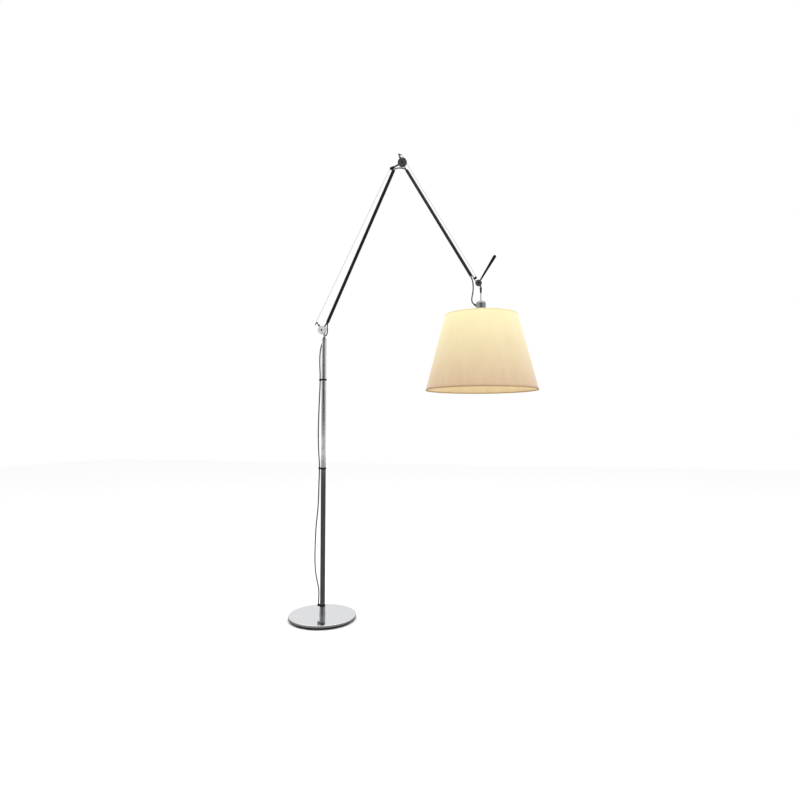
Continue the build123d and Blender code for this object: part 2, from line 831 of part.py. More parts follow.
nodes = {
    "base_pad": base_pad(),
    "base_weight": base_weight(),
    "base_cover": base_cover(),
    "base_inlet": base_inlet(),
    "stem_bolt": stem_bolt(),
    "foot_collar": foot_collar(),
    "foot_gland": foot_gland(),
    "stem_tube_lower": stem_tube_lower(),
    "stem_tube_upper": stem_tube_upper(),
    "stem_joiner": stem_joiner(),
    "stem_clip_lower": stem_clip(stem_seam),
    "stem_clip_upper": stem_clip(clip_upper_z),
    "stem_bush": stem_bush(),
    "swivel_pin": swivel_pin(),
    "cord_guide": cord_guide(),
    "shoulder_plate": shoulder_plate(),
    "shoulder_lever": shoulder_lever(),
    "shoulder_cheek_front": shoulder_cheek(1),
    "shoulder_cheek_back": shoulder_cheek(-1),
    "shoulder_rivet": rivet(lower, (0, 0), cheek_out),
    "lower_fork": lower_fork(),
    "lower_arm_tube": lower_arm_tube(),
    "lower_spring": spring(lower, lower_end - plug_len - spring_len - 20, lower_shift),
    "lower_knuckle": lower_knuckle(),
    "lower_roller": roller(lower, lower_roller, lower_roller_r),
    "lower_balance_wire": lower_balance_wire(),
    "elbow_plate": elbow_plate(),
    "elbow_lever": elbow_lever(),
    "elbow_cheek_front": elbow_cheek(1),
    "elbow_cheek_back": elbow_cheek(-1),
    "elbow_rivet": rivet(upper, (0, 0), cheek_out),
    "upper_fork": upper_fork(),
    "upper_arm_tube": upper_arm_tube(),
    "upper_spring": spring(upper, upper_end - plug_len - spring_len - 20, upper_shift),
    "wrist_fork": wrist_fork(),
    "upper_roller": roller(upper, upper_roller, upper_roller_r),
    "upper_balance_wire": upper_balance_wire(),
    "wrist_cheek_front": wrist_cheek(1),
    "wrist_cheek_back": wrist_cheek(-1),
    "wrist_rivet": rivet(upper, wrist_at, wrist_cheek_out),
    "head_plate": head_plate(),
    "handle_grip": handle_grip(),
    "hanger_collar": hanger_collar(),
    "hanger_sleeve": hanger_sleeve(),
    "hanger_rod": hanger_rod(),
    "dome_cap": dome_cap(),
    "cord_relief": cord_relief(),
    "lampholder": lampholder(),
    "shade_ring": shade_ring(),
    "bulb_cap": bulb_cap(),
    "bulb_glass": bulb_glass(),
    "shade_carrier": shade_carrier(),
    "shade_wall": shade_wall(),
    "shade_top_trim": shade_top_trim(),
    "shade_foot_trim": shade_foot_trim(),
    "stem_cord": cord("stem_cord", stem_route),
    "swivel_cord": cord("swivel_cord", swivel_route),
    "shoulder_cord": cord("shoulder_cord", shoulder_route),
    "elbow_cord": cord("elbow_cord", elbow_route),
    "head_cord": cord("head_cord", head_route),
}

os.makedirs("parts", exist_ok=True)
for name, part in nodes.items():
    export_step(part, f"parts/{name}.step")
print(len(nodes), "nodes; elbow", elbow, "wrist", wrist, "shade axis", shade_x)
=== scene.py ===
import json
import math

import bmesh
import bpy
from mathutils import Matrix, Vector


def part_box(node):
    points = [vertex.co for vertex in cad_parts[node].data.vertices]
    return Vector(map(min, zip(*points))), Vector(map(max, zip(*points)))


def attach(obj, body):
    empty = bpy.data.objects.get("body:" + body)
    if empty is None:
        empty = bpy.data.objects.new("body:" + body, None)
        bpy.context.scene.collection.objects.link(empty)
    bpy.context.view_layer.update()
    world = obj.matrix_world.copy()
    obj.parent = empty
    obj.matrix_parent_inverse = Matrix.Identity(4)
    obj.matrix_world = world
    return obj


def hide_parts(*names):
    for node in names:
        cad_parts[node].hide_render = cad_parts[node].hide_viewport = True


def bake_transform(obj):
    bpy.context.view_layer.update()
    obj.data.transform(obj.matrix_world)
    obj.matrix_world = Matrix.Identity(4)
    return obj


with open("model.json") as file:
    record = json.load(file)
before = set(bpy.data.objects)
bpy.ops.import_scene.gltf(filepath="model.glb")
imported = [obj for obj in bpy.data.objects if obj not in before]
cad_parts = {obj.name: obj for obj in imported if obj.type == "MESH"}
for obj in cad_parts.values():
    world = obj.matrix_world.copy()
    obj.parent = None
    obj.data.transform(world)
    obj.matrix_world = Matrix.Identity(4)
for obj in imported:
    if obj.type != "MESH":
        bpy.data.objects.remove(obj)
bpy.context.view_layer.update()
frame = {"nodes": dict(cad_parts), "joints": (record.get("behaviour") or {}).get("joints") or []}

scene = bpy.context.scene
scene.view_settings.view_transform = "Standard"
scene.view_settings.look = "None"

# hinge places, in metres
joints = {j["name"]: Vector(j["pos_m"]) for j in frame["joints"]}
shoulder = joints["lower_arm_tilt"]
elbow = joints["upper_arm_tilt"]
wrist = joints["head_tilt"]
shadeAxis = joints["shade_turn"]


# camera, then the cords

viewpoint = {
    "place": (1.0744, -2.6125, 0.9328),
    "turn": 14.604,  # degrees to the left of +Y
    "rise": 2.898,  # degrees above the horizon
    "lens": 25.2,
}


def makeCamera(v):
    data = bpy.data.cameras.new("camera")
    data.lens = v["lens"]
    data.sensor_width = 36
    data.clip_start, data.clip_end = 0.05, 60
    camera = bpy.data.objects.new("camera", data)
    camera.location = v["place"]
    camera.rotation_euler = (math.radians(90 + v["rise"]), 0, math.radians(v["turn"]))
    scene.collection.objects.link(camera)
    scene.camera = camera
    print("camera at", tuple(round(c, 3) for c in camera.location))


makeCamera(viewpoint)

cordThickness = 0.006
cordRoutes = {
    "stem": [
        (-0.0208, 0, 1.180), (-0.0208, 0, 1.150), (-0.0232, -0.0006, 1.096),
        (-0.0264, 0.0003, 1.020), (-0.0286, 0.0001, 0.940), (-0.0282, 0.0006, 0.862),
        (-0.0250, 0.0003, 0.800), (-0.0208, 0, 0.756), (-0.0208, 0, 0.712),
        (-0.0239, 0.0004, 0.650), (-0.0246, -0.0003, 0.578), (-0.0296, 0.0002, 0.512),
        (-0.0368, 0, 0.452), (-0.0400, 0.0004, 0.388), (-0.0418, 0, 0.320),
        (-0.0414, 0.0003, 0.266), (-0.0370, 0, 0.216), (-0.0286, 0.0002, 0.180),
        (-0.0209, 0, 0.148), (-0.0189, 0.0001, 0.118), (-0.0208, 0, 0.090),
        (-0.0208, 0, 0.063),
    ],
    "swivel": [
        (-0.0098, 0.0132, 1.3855), (-0.0098, 0.0132, 1.379), (-0.0138, 0.0142, 1.3685),
        (-0.0196, 0.0118, 1.352), (-0.0234, 0.0064, 1.326), (-0.0244, 0.0014, 1.286),
        (-0.0228, -0.0004, 1.240), (-0.0208, 0, 1.206), (-0.0208, 0, 1.180),
    ],
    "shoulder": [
        (0.02046, 0, 1.46581), (0.01662, 0, 1.45754), (0.0150, 0.0006, 1.440),
        (0.0156, 0.0036, 1.424), (0.0120, 0.0090, 1.411), (0.0044, 0.0132, 1.402),
        (-0.0044, 0.0146, 1.3965), (-0.0098, 0.0132, 1.3915), (-0.0098, 0.0132, 1.3855),
    ],
    "elbow": [
        (0.36151, 0, 2.20056), (0.36657, 0, 2.21144), (0.3732, 0.0003, 2.2154),
        (0.3850, 0.0004, 2.2159), (0.3980, 0.0003, 2.2142), (0.4096, 0.0001, 2.2110),
        (0.41905, 0, 2.20818), (0.42701, 0, 2.1943),
    ],
    "head": [
        (0.73519, 0, 1.65624), (0.7452, 0, 1.6388), (0.7496, 0.0008, 1.616),
        (0.7506, 0.0012, 1.591), (0.7474, 0.0006, 1.566), (0.7432, -0.0004, 1.545),
        (0.7434, -0.0003, 1.531), (0.7480, 0, 1.5207), (0.7601, 0, 1.51048),
    ],
}


def splineObject(name, route, steps):
    curve = bpy.data.curves.new(name, "CURVE")
    curve.dimensions = "3D"
    curve.resolution_u = steps
    curve.bevel_resolution = 5
    curve.use_fill_caps = True
    spline = curve.splines.new("NURBS")
    spline.points.add(len(route) - 1)
    for point, co in zip(spline.points, route):
        point.co = (*co, 1)
    spline.order_u = 3
    spline.use_endpoint_u = True
    return bpy.data.objects.new(name, curve)


def tubeAlong(name, route, thickness, steps=10):
    guide = splineObject(name + "Guide", route, steps)
    line = bpy.data.meshes.new_from_object(guide)
    path = [tuple(v.co) for v in line.vertices]
    guide.data.bevel_depth = thickness / 2
    tube = bpy.data.meshes.new_from_object(guide)
    bpy.data.objects.remove(guide)
    piece = bpy.data.objects.new(name, tube)
    scene.collection.objects.link(piece)
    alongUv(piece, path)
    return piece, path


def alongUv(piece, path):
    # u counts turns round the tube and v metres along it
    across = Vector((0.02, 1, 0.03))
    places = [Vector(p) for p in path]
    run = [0.0]
    for a, b in zip(places, places[1:]):
        run.append(run[-1] + (b - a).length)
    mesh = bmesh.new()
    mesh.from_mesh(piece.data)
    bmesh.ops.remove_doubles(mesh, verts=mesh.verts, dist=1e-6)
    layer = mesh.loops.layers.uv.verify()
    for face in mesh.faces:
        face.smooth = True
        middle = face.calc_center_median()
        near = min(range(len(places)), key=lambda i: (places[i] - middle).length_squared)
        ahead = places[min(near + 1, len(places) - 1)] - places[max(near - 1, 0)]
        ahead.normalize()
        side = ahead.cross(across).normalized()
        up = side.cross(ahead)
        base = None
        for loop in face.loops:
            off = loop.vert.co - places[near]
            turn = math.atan2(off.dot(up), off.dot(side)) / math.tau
            base = turn if base is None else base
            turn += round(base - turn)
            loop[layer].uv = (turn, run[near] + off.dot(ahead))
    mesh.to_mesh(piece.data)
    mesh.free()


def makeCord(key, body=None, blend=None):
    route = cordRoutes[key]
    node = key + "_cord"
    piece, path = tubeAlong(key + "Cord", route, cordThickness)
    if blend:
        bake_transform(piece)
    else:
        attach(piece, body)
    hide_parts(node)
    return piece


cordPieces = [
    makeCord("stem", body="stand"),
    makeCord("swivel", blend=("stand", "swivel", (-0.0208, 0, 1.186), (-0.0098, 0.0132, 1.379))),
    makeCord("shoulder", blend=("swivel", "lower_arm", (-0.0044, 0.0146, 1.3965), (0.01662, 0, 1.45754))),
    makeCord("elbow", blend=("lower_arm", "upper_arm", (0.36657, 0, 2.21144), (0.41905, 0, 2.20818))),
    makeCord("head", blend=("upper_arm", "head", (0.7452, 0, 1.6388), (0.7480, 0, 1.5207))),
]
print("cords", [p.name for p in cordPieces])


# node steps that the room and the finishes share


def startMaterial(name):
    mat = bpy.data.materials.new(name)
    mat.use_nodes = True
    tree = mat.node_tree
    return mat, tree, tree.nodes["Principled BSDF"]


def feed(tree, kind, **sockets):
    node = tree.nodes.new(kind)
    for key, value in sockets.items():
        node.inputs[key.replace("_", " ")].default_value = value
    return node


def coordinates(tree, scale, source="Object"):
    where = tree.nodes.new("ShaderNodeTexCoord")
    mapping = feed(tree, "ShaderNodeMapping", Scale=scale)
    tree.links.new(where.outputs[source], mapping.inputs["Vector"])
    return mapping.outputs[0]


def mixColour(tree, factor, a, b):
    node = tree.nodes.new("ShaderNodeMix")
    node.data_type = "RGBA"
    for socket, value in ((6, a), (7, b)):
        if isinstance(value, tuple):
            node.inputs[socket].default_value = (*value, 1)
        else:
            tree.links.new(value, node.inputs[socket])
    tree.links.new(factor, node.inputs[0])
    return node.outputs[2]


def mapped(tree, value, low, high, fromLow=0.0, fromHigh=1.0):
    node = feed(tree, "ShaderNodeMapRange", From_Min=fromLow, From_Max=fromHigh, To_Min=low, To_Max=high)
    tree.links.new(value, node.inputs["Value"])
    return node.outputs[0]


def bumped(tree, surface, height, strength, distance):
    bump = feed(tree, "ShaderNodeBump", Strength=strength, Distance=distance)
    tree.links.new(height, bump.inputs["Height"])
    tree.links.new(bump.outputs[0], surface.inputs["Normal"])


def filledRamp(tree, factor, stops):
    # the stops rise from 0, because a ramp keeps its elements in order of position
    ramp = tree.nodes.new("ShaderNodeValToRGB")
    elements = ramp.color_ramp.elements
    elements.remove(elements[-1])
    for at, colour in stops:
        element = elements[0] if at == 0 else elements.new(at)
        element.color = (*colour, 1)
    tree.links.new(factor, ramp.inputs[0])
    return ramp.outputs[0]


# floor, lights and the room that the metal reflects

studio = {
    "floor": {"paint": "paleFloor", "cells": 8, "size": 60, "height": 0, "colour": (0.93, 0.93, 0.93),
              "roughness": 0.6, "specular": 0.15},
    "flag": {"paint": "flagCloth", "cells": 4, "size": 12, "height": 0.0004, "colour": (0.18, 0.18, 0.18),
             "roughness": 0.9, "specular": 0},
    "ceilingPower": 60,
    "sidePower": 22,
}


def makeSheet(name, s):
    mesh = bpy.data.meshes.new(name)
    shape = bmesh.new()
    bmesh.ops.create_grid(shape, x_segments=s["cells"], y_segments=s["cells"], size=s["size"])
    bmesh.ops.translate(shape, verts=shape.verts, vec=(0, 0, s["height"]))
    shape.to_mesh(mesh)
    shape.free()
    sheet = bpy.data.objects.new(name, mesh)
    scene.collection.objects.link(sheet)
    mat, _, surface = startMaterial(s["paint"])
    surface.inputs["Base Color"].default_value = (*s["colour"], 1)
    surface.inputs["Roughness"].default_value = s["roughness"]
    surface.inputs["Specular IOR Level"].default_value = s["specular"]
    mesh.materials.append(mat)
    return sheet


def makeGround(s):
    makeSheet("floor", s["floor"])
    # a dark sheet on the floor that only reflections see, as a studio would lay it out of view
    flag = makeSheet("flag", s["flag"])
    flag.visible_camera = False
    flag.visible_diffuse = False
    flag.visible_shadow = False
    flag.visible_transmission = False


def areaLight(name, place, aim, size, power):
    data = bpy.data.lights.new(name, "AREA")
    data.shape = "RECTANGLE"
    data.size, data.size_y = size
    data.energy = power
    light = bpy.data.objects.new(name, data)
    light.location = place
    light.rotation_euler = (Vector(aim) - Vector(place)).to_track_quat("-Z", "Y").to_euler()
    light.visible_glossy = False
    scene.collection.objects.link(light)


def makeRoom():
    # the camera sees plain white; everything else sees a room that brightens behind and overhead
    world = bpy.data.worlds.new("room")
    scene.world = world
    world.use_nodes = True
    tree = world.node_tree
    tree.nodes.clear()
    link = tree.links.new
    where = tree.nodes.new("ShaderNodeTexCoord")
    split = tree.nodes.new("ShaderNodeSeparateXYZ")
    link(where.outputs["Generated"], split.inputs[0])
    side, behind, up = (split.outputs[axis] for axis in "XYZ")
    # left of the lamp is bright, the room behind the viewer is dim, and the right is middling
    brightness = ((0.0, 0.75), (0.30, 0.68), (0.345, 0.03), (0.70, 0.02), (0.77, 0.50), (1.0, 0.64))
    greys = [(at, (value,) * 3) for at, value in brightness]
    walls = filledRamp(tree, mapped(tree, side, 0, 1, -1, 1), greys)
    # the walls are dimmer near the floor
    walls = mixColour(tree, mapped(tree, up, 0.2, 1, -0.02, 0.18), (0, 0, 0), walls)
    widest = tree.nodes.new("ShaderNodeMath")
    widest.operation = "MAXIMUM"
    link(mapped(tree, behind, 0, 1, -0.1, 0.35), widest.inputs[0])
    link(mapped(tree, up, 0, 1, 0.25, 0.75), widest.inputs[1])
    lit = tree.nodes.new("ShaderNodeBackground")
    link(mixColour(tree, widest.outputs[0], walls, (0.92, 0.92, 0.93)), lit.inputs["Color"])
    link(mapped(tree, up, 1.0, 1.6, 0.5, 0.85), lit.inputs["Strength"])
    seen = tree.nodes.new("ShaderNodeBackground")
    seen.inputs["Color"].default_value = (1, 1, 1, 1)
    path = tree.nodes.new("ShaderNodeLightPath")
    mixer = tree.nodes.new("ShaderNodeMixShader")
    link(path.outputs["Is Camera Ray"], mixer.inputs[0])
    link(lit.outputs[0], mixer.inputs[1])
    link(seen.outputs[0], mixer.inputs[2])
    out = tree.nodes.new("ShaderNodeOutputWorld")
    link(mixer.outputs[0], out.inputs[0])


makeGround(studio)
areaLight("ceiling", (0.4, -0.6, 4.4), (0.3, 0.1, 0.4), (3.4, 3.0), studio["ceilingPower"])
areaLight("right", (3.6, -1.6, 2.0), (0.8, 0, 1.2), (1.6, 2.4), studio["sidePower"])
makeRoom()
print("studio ready")


# finishes


def metalFinish(name, colour, darker, roughness, grain=(300, 300, 300), grainDepth=0.00002, wear=0.06,
                metallic=1):
    # metal with drawn or turned grain, faint handling marks and uneven shine
    mat, tree, surface = startMaterial(name)
    surface.inputs["Metallic"].default_value = metallic
    fine = feed(tree, "ShaderNodeTexNoise", Scale=1.0, Detail=4.0, Roughness=0.6)
    tree.links.new(coordinates(tree, grain), fine.inputs["Vector"])
    marks = feed(tree, "ShaderNodeTexNoise", Scale=1.0, Detail=3.0, Roughness=0.55)
    tree.links.new(coordinates(tree, (38, 38, 38)), marks.inputs["Vector"])
    tree.links.new(mixColour(tree, mapped(tree, marks.outputs["Fac"], 0, 1, 0.35, 0.7), colour, darker),
                   surface.inputs["Base Color"])
    low, high = roughness
    both = tree.nodes.new("ShaderNodeMath")
    both.operation = "MULTIPLY_ADD"
    both.inputs[1].default_value = wear
    tree.links.new(fine.outputs["Fac"], both.inputs[0])
    tree.links.new(mapped(tree, marks.outputs["Fac"], low, high, 0.3, 0.75), both.inputs[2])
    tree.links.new(both.outputs[0], surface.inputs["Roughness"])
    bumped(tree, surface, fine.outputs["Fac"], 0.25, grainDepth)
    return mat


def plasticFinish(name, colour, lighter, roughness, pebble=900, depth=0.00003, shine=0.5):
    # moulded plastic or rubber with a fine pebble and a little dust
    mat, tree, surface = startMaterial(name)
    cells = feed(tree, "ShaderNodeTexVoronoi", Scale=1.0)
    tree.links.new(coordinates(tree, (pebble,) * 3), cells.inputs["Vector"])
    dust = feed(tree, "ShaderNodeTexNoise", Scale=1.0, Detail=5.0, Roughness=0.65)
    tree.links.new(coordinates(tree, (55, 55, 55)), dust.inputs["Vector"])
    tree.links.new(mixColour(tree, mapped(tree, dust.outputs["Fac"], 0, 1, 0.4, 0.8), colour, lighter),
                   surface.inputs["Base Color"])
    tree.links.new(mapped(tree, dust.outputs["Fac"], *roughness, 0.3, 0.75), surface.inputs["Roughness"])
    surface.inputs["Specular IOR Level"].default_value = shine
    bumped(tree, surface, cells.outputs["Distance"], 0.3, depth)
    return mat


def lacquerFinish(name, colour, lighter, roughness=(0.36, 0.5)):
    # thin dark lacquer over drawn metal, with lighter rubbed patches
    mat, tree, surface = startMaterial(name)
    rubs = feed(tree, "ShaderNodeTexNoise", Scale=1.0, Detail=4.0, Roughness=0.6)
    tree.links.new(coordinates(tree, (40, 40, 40)), rubs.inputs["Vector"])
    orange = feed(tree, "ShaderNodeTexNoise", Scale=1.0, Detail=2.0)
    tree.links.new(coordinates(tree, (700, 700, 700)), orange.inputs["Vector"])
    tree.links.new(mixColour(tree, mapped(tree, rubs.outputs["Fac"], 0, 1, 0.42, 0.75), colour, lighter),
                   surface.inputs["Base Color"])
    tree.links.new(mapped(tree, rubs.outputs["Fac"], *roughness, 0.3, 0.75), surface.inputs["Roughness"])
    surface.inputs["Specular IOR Level"].default_value = 0.22
    bumped(tree, surface, orange.outputs["Fac"], 0.2, 0.00001)
    return mat


def coverFinish(name):
    # mirror top; the rim is painted darker towards the floor, as painted shade and dark reflection, and is
    # brushed round the axis
    mat, tree, surface = startMaterial(name)
    surface.inputs["Metallic"].default_value = 1
    where = tree.nodes.new("ShaderNodeTexCoord")
    split = tree.nodes.new("ShaderNodeSeparateXYZ")
    tree.links.new(where.outputs["Object"], split.inputs[0])
    paintedSkirtShadeMask = mapped(tree, split.outputs["Z"], 0, 1, 0.0104, 0.0130)
    streaks = feed(tree, "ShaderNodeTexNoise", Scale=1.0, Detail=3.0)
    tree.links.new(coordinates(tree, (20, 20, 1500)), streaks.inputs["Vector"])
    # the skirt's dark colour is painted shade and dark reflection; the streaks in it are its brushing
    low = mixColour(tree, streaks.outputs["Fac"], (0.05, 0.05, 0.052), (0.12, 0.12, 0.123))
    marks = feed(tree, "ShaderNodeTexNoise", Scale=1.0, Detail=3.0)
    tree.links.new(coordinates(tree, (9, 9, 9)), marks.inputs["Vector"])
    top = mixColour(tree, marks.outputs["Fac"], (0.775, 0.78, 0.785), (0.74, 0.745, 0.75))
    tree.links.new(mixColour(tree, paintedSkirtShadeMask, low, top), surface.inputs["Base Color"])
    tree.links.new(mapped(tree, marks.outputs["Fac"], 0.09, 0.14, 0.3, 0.7), surface.inputs["Roughness"])
    return mat


def sheathFinish(name, colour, lighter):
    # woven sheath: two sets of threads wound opposite ways round the cord
    mat, tree, surface = startMaterial(name)
    vector = coordinates(tree, (1, 1, 1), "UV")
    split = tree.nodes.new("ShaderNodeSeparateXYZ")
    tree.links.new(vector, split.inputs[0])
    waves = []
    for lean in (260.0, -260.0):
        turn = tree.nodes.new("ShaderNodeMath")
        turn.operation = "MULTIPLY"
        turn.inputs[1].default_value = lean
        tree.links.new(split.outputs["Y"], turn.inputs[0])
        around = tree.nodes.new("ShaderNodeMath")
        around.operation = "MULTIPLY_ADD"
        around.inputs[1].default_value = 8.0
        tree.links.new(split.outputs["X"], around.inputs[0])
        tree.links.new(turn.outputs[0], around.inputs[2])
        wave = tree.nodes.new("ShaderNodeMath")
        wave.operation = "PINGPONG"
        wave.inputs[1].default_value = 0.5
        tree.links.new(around.outputs[0], wave.inputs[0])
        waves.append(wave.outputs[0])
    cross = tree.nodes.new("ShaderNodeMath")
    cross.operation = "MAXIMUM"
    tree.links.new(waves[0], cross.inputs[0])
    tree.links.new(waves[1], cross.inputs[1])
    tree.links.new(mixColour(tree, mapped(tree, cross.outputs[0], 0, 1, 0.15, 0.5), colour, lighter),
                   surface.inputs["Base Color"])
    surface.inputs["Roughness"].default_value = 0.62
    surface.inputs["Specular IOR Level"].default_value = 0.15
    bumped(tree, surface, cross.outputs[0], 0.6, 0.00025)
    return mat


metals = {
    "upperStem": {"colour": (0.74, 0.74, 0.75), "darker": (0.66, 0.66, 0.67), "roughness": (0.10, 0.15),
                  "grain": (120, 120, 5), "grainDepth": 0.0000008, "wear": 0.04},
    # painted shade: the lower tube is coloured far darker than the upper, standing in for the darker
    # reflection low on the stem
    "lowerStemPaintedShade": {"colour": (0.24, 0.24, 0.245), "darker": (0.20, 0.20, 0.205),
                  "roughness": (0.11, 0.16), "grain": (120, 120, 5), "grainDepth": 0.0000008,
                  "wear": 0.04},
    "collarMetal": {"colour": (0.36, 0.36, 0.365), "darker": (0.28, 0.28, 0.285),
                    "roughness": (0.14, 0.22), "grain": (60, 60, 600), "grainDepth": 0.00001,
                    "wear": 0.06},
    "turnedSteel": {"colour": (0.50, 0.50, 0.49), "darker": (0.38, 0.38, 0.37), "roughness": (0.2, 0.32),
                    "grain": (60, 60, 900)},
    "plateSteel": {"colour": (0.10, 0.10, 0.105), "darker": (0.06, 0.06, 0.065),
                   "roughness": (0.25, 0.4), "grain": (120, 500, 120)},
    "shoulderDisc": {"colour": (0.80, 0.80, 0.81), "darker": (0.68, 0.68, 0.69),
                     "roughness": (0.38, 0.5), "grain": (500, 30, 500), "grainDepth": 0.00001,
                     "wear": 0.08, "metallic": 0.45},
    "wristDisc": {"colour": (0.46, 0.46, 0.465), "darker": (0.22, 0.22, 0.225), "roughness": (0.18, 0.3),
                  "grain": (500, 30, 500), "grainDepth": 0.00001, "wear": 0.08},
    "rivetDark": {"colour": (0.05, 0.05, 0.052), "darker": (0.03, 0.03, 0.031), "roughness": (0.25, 0.4)},
    "wireSteel": {"colour": (0.55, 0.55, 0.55), "darker": (0.42, 0.42, 0.42), "roughness": (0.22, 0.34),
                  "grain": (900, 900, 900), "grainDepth": 0.00004},
    "domeMetal": {"colour": (0.40, 0.40, 0.41), "darker": (0.32, 0.32, 0.33), "roughness": (0.24, 0.34),
                  "grain": (60, 60, 700)},
    "capThread": {"colour": (0.66, 0.66, 0.64), "darker": (0.5, 0.5, 0.48), "roughness": (0.2, 0.35),
                  "grain": (200, 200, 900)},
}
plastics = {
    "weightPaint": {"colour": (0.006, 0.006, 0.006), "lighter": (0.012, 0.012, 0.012),
                    "roughness": (0.4, 0.6), "pebble": 700, "depth": 0.00004, "shine": 0.2},
    "rubber": {"colour": (0.004, 0.004, 0.004), "lighter": (0.009, 0.009, 0.009),
               "roughness": (0.5, 0.7), "pebble": 1200, "depth": 0.00004, "shine": 0.12},
    "blackGloss": {"colour": (0.004, 0.004, 0.004), "lighter": (0.008, 0.008, 0.008),
                   "roughness": (0.35, 0.5), "pebble": 1500, "depth": 0.00001, "shine": 0.2},
    "whiteMould": {"colour": (0.72, 0.72, 0.70), "lighter": (0.62, 0.61, 0.58), "roughness": (0.35, 0.5),
                   "pebble": 800, "depth": 0.00002},
    "wireLacquer": {"colour": (0.75, 0.75, 0.73), "lighter": (0.6, 0.6, 0.58), "roughness": (0.3, 0.45),
                    "pebble": 500, "depth": 0.00003},
}
lacquers = {
    "lowerArmPaint": {"colour": (0.006, 0.006, 0.007), "lighter": (0.012, 0.012, 0.013)},
    "upperArmPaint": {"colour": (0.016, 0.016, 0.017), "lighter": (0.026, 0.026, 0.027)},
    "rodSteel": {"colour": (0.012, 0.012, 0.013), "lighter": (0.025, 0.025, 0.026)},
    "leverSteel": {"colour": (0.010, 0.010, 0.011), "lighter": (0.022, 0.022, 0.023)},
    "elbowDisc": {"colour": (0.038, 0.038, 0.040), "lighter": (0.058, 0.058, 0.060),
                  "roughness": (0.4, 0.55)},
}
finishes = {"coverChrome": coverFinish("coverChrome")}
for maker, settings in ((metalFinish, metals), (plasticFinish, plastics), (lacquerFinish, lacquers)):
    finishes.update({name: maker(name, **s) for name, s in settings.items()})
finishes["sheath"] = sheathFinish("sheath", (0.030, 0.030, 0.032), (0.085, 0.085, 0.09))
for cordPiece in cordPieces:
    cordPiece.data.materials.append(finishes["sheath"])

nodeFinishes = {
    "rubber": ["base_pad", "base_inlet", "foot_gland", "stem_clip_lower", "stem_clip_upper"],
    "weightPaint": ["base_weight"],
    "coverChrome": ["base_cover"],
    "upperStem": ["stem_tube_upper", "hanger_collar"],
    "lowerStemPaintedShade": ["stem_tube_lower"],
    "collarMetal": ["foot_collar"],
    "turnedSteel": ["stem_bolt", "stem_joiner", "stem_bush", "swivel_pin", "hanger_rod"],
    "lowerArmPaint": ["lower_arm_tube"],
    "upperArmPaint": ["upper_arm_tube"],
    "rodSteel": ["lower_fork", "upper_fork", "wrist_fork"],
    "plateSteel": ["shoulder_plate", "elbow_plate", "head_plate"],
    "leverSteel": ["shoulder_lever", "elbow_lever"],
    "shoulderDisc": ["shoulder_cheek_front", "shoulder_cheek_back"],
    "wristDisc": ["wrist_cheek_front", "wrist_cheek_back"],
    "elbowDisc": ["elbow_cheek_front", "elbow_cheek_back"],
    "rivetDark": ["shoulder_rivet", "elbow_rivet", "wrist_rivet"],
    "wireSteel": ["lower_spring", "upper_spring"],
    "blackGloss": ["handle_grip", "hanger_sleeve", "cord_guide", "lower_knuckle", "lower_roller",
                   "upper_roller"],
    "domeMetal": ["dome_cap"],
    "whiteMould": ["lampholder", "shade_ring"],
    "wireLacquer": ["shade_carrier"],
    "capThread": ["bulb_cap"],
}
for finish, names in nodeFinishes.items():
    for name in names:
        mesh = frame["nodes"][name].data
        mesh.materials.clear()
        mesh.materials.append(finishes[finish])
print("finishes", len(finishes))


# balance wires


def placeIn(pivot, angle, x, y):
    # a point along an arm and square to it, from its pivot
    a = math.radians(angle)
    right = pivot.x + x * math.cos(a) - y * math.sin(a)
    up = pivot.z + x * math.sin(a) + y * math.cos(a)
    return Vector((right, 0, up))


balanceWires = {
    "lowerWire": {
        "node": "lower_balance_wire", "pivot": shoulder, "angle": 65.1, "bodies": ("swivel", "lower_arm"),
        "points": [(0.0295, 0.0473), (0.0420, 0.04675), (0.8620, 0.01167), (0.8730, 0.0112),
                   (0.8725, 0.0007), (0.8640, -0.0032), (0.8560, -0.0069)],
        "follow": (0.090, 0.0447),
    },
    "upperWire": {
        "node": "upper_balance_wire", "pivot": elbow, "angle": -60.2, "bodies": ("lower_arm", "upper_arm"),
        "points": [(-0.0306, 0.0157), (-0.018, 0.01571), (0.6920, 0.01649), (0.7039, 0.0165),
                   (0.7039, 0.0047), (0.6920, 0.0025), (0.6721, -0.0010)],
        "follow": (0.030, 0.01577),
    },
}
wireThickness = 0.0016
wireSteps = 36


def makeWire(name, w):
    route = [tuple(placeIn(w["pivot"], w["angle"], x, y)) for x, y in w["points"]]
    piece = tubeAlong(name, route, wireThickness, wireSteps)[0]
    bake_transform(piece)
    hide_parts(w["node"])
    piece.data.materials.append(finishes["wireSteel"])


for name, w in balanceWires.items():
    makeWire(name, w)
print("balance wires done")


# shade


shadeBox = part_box("shade_wall")
shadeFoot, shadeTop = shadeBox[0].z, shadeBox[1].z
shadeSettings = {
    "footRadius": (shadeBox[1].x - shadeBox[0].x) / 2,
    "topRadius": 0.170,
    "thickness": 0.0011,
    "around": 192,
    "rings": 24,
    "meanRadius": 0.215,
    "seamTurn": 0.25,
    "seamHalf": (0.0050, 0.0056),
    # the lamp's light through the paper, painted as emission from the foot up: brightest near the top, warmer
    # and dimmer towards the foot
    "outerGlow": ((0.0, (0.43, 0.255, 0.115)), (0.97, (0.78, 0.68, 0.33))),
    "innerGlow": ((0.0, (0.50, 0.345, 0.14)), (0.97, (0.86, 0.69, 0.34))),
}


